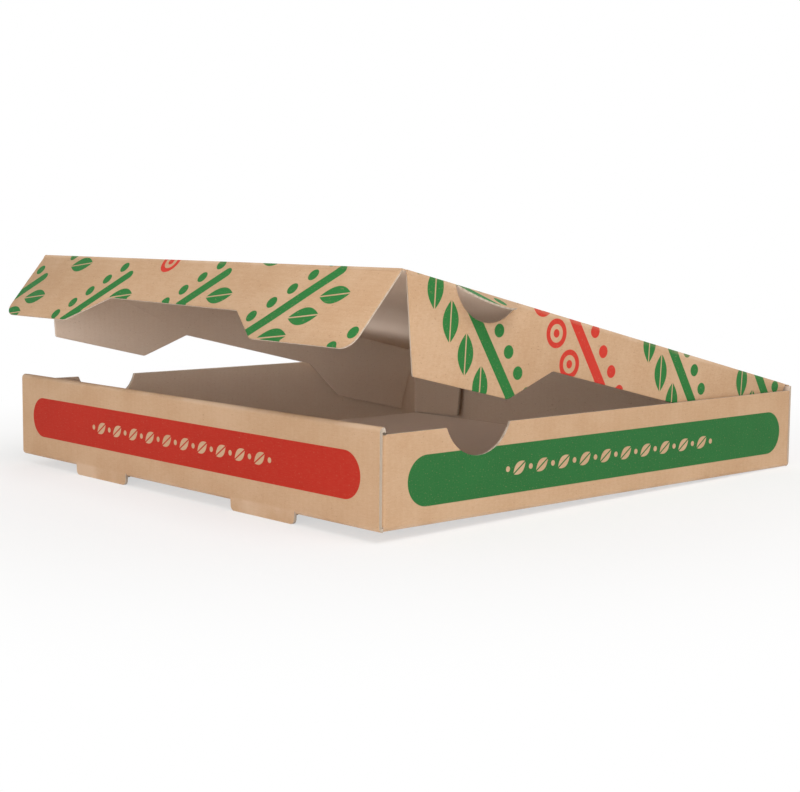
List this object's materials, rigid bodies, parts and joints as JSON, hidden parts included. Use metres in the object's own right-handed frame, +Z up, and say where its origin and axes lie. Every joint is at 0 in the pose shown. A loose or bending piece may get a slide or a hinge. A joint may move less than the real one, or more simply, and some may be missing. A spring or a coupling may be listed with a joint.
{
  "type": "pizza box",
  "caption": "Square low pizza box of folded corrugated card: tray with a roll-over locking front wall, and a hinged lid with notched tuck flaps and half-moon steam vents.",
  "frame": {"origin": "centre of the underside of the tray's floor", "axes": "+Z up, +X along the front wall to the right as seen from the front, +Y from the front wall towards the lid's hinge"},
  "size_m": [0.3186, 0.3135, 0.1152],
  "materials": {
    "card": "uncoated kraft liner outside, greyish liner inside"
  },
  "bodies": {
    "tray": {"tray": "card"},
    "lid": {"lid_panel": "card"},
    "front_flap": {"front_flap": "card"},
    "left_flap": {"left_flap": "card"},
    "right_flap": {"right_flap": "card"}
  },
  "joints": [
    {"name": "lid_hinge", "type": "hinge", "parent": "tray", "child": "lid", "pos_m": [0, 0.1497, 0.04375], "axis": [-1, 0, 0], "range_deg": [-10.1, 165]},
    {"name": "front_flap_hinge", "type": "hinge", "parent": "lid", "child": "front_flap", "pos_m": [0, -0.13587, 0.1102], "axis": [1, 0, 0], "range_deg": [-62, 40]},
    {"name": "left_flap_hinge", "type": "hinge", "parent": "lid", "child": "left_flap", "pos_m": [-0.1477, 0.1497, 0.04375], "axis": [0, -0.974, 0.2267], "range_deg": [0, 35]},
    {"name": "right_flap_hinge", "type": "hinge", "parent": "lid", "child": "right_flap", "pos_m": [0.1477, 0.1497, 0.04375], "axis": [0, 0.974, -0.2267], "range_deg": [0, 35]}
  ]
}
